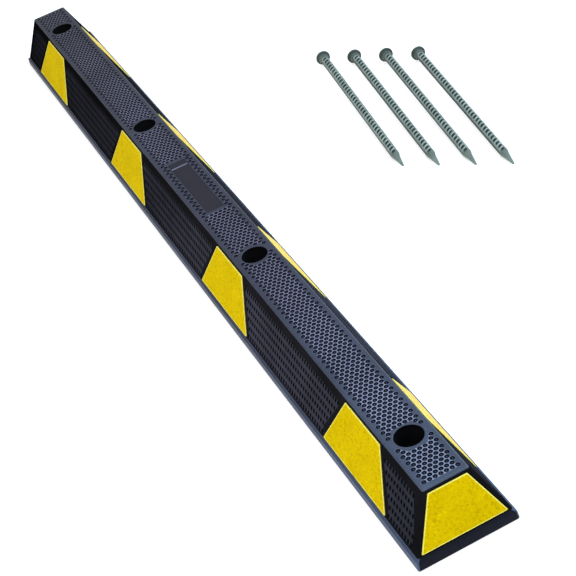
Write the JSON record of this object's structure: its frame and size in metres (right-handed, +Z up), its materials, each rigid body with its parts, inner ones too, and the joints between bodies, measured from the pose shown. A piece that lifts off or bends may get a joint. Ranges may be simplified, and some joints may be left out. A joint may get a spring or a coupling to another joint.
{
  "type": "parking wheel stop",
  "caption": "Long low rubber wheel stop with sloping sides, yellow reflective trapezoid panels, a honeycomb-textured top with counterbored holes, and loose ribbed steel ground spikes.",
  "frame": {"origin": "middle of the bar's underside, on the ground", "axes": "+X along the bar, +Z up, the loose spikes lie on the +Y side"},
  "size_m": [1.829, 0.6342, 0.102],
  "materials": {
    "rubber": "matt moulded recycled rubber",
    "reflective_film": "finely crinkled reflective yellow",
    "spike_steel": "rolled and lightly galvanised, grey green"
  },
  "bodies": {
    "bar": {"block": "rubber", "front_panel_1": "reflective_film", "front_panel_2": "reflective_film", "front_panel_3": "reflective_film", "front_panel_4": "reflective_film", "rear_panel_1": "reflective_film", "rear_panel_2": "reflective_film", "rear_panel_3": "reflective_film", "rear_panel_4": "reflective_film", "end_panel_near": "reflective_film", "end_panel_far": "reflective_film"},
    "spike_1_body": {"spike_1": "spike_steel"},
    "spike_2_body": {"spike_2": "spike_steel"},
    "spike_3_body": {"spike_3": "spike_steel"},
    "spike_4_body": {"spike_4": "spike_steel"}
  },
  "joints": [
    {"name": "spike_1_lift", "type": "slide", "parent": "bar", "child": "spike_1_body", "axis": [0, 0, 1], "range_m": [0, 0.15]},
    {"name": "spike_2_lift", "type": "slide", "parent": "bar", "child": "spike_2_body", "axis": [0, 0, 1], "range_m": [0, 0.15]},
    {"name": "spike_3_lift", "type": "slide", "parent": "bar", "child": "spike_3_body", "axis": [0, 0, 1], "range_m": [0, 0.15]},
    {"name": "spike_4_lift", "type": "slide", "parent": "bar", "child": "spike_4_body", "axis": [0, 0, 1], "range_m": [0, 0.15]}
  ]
}
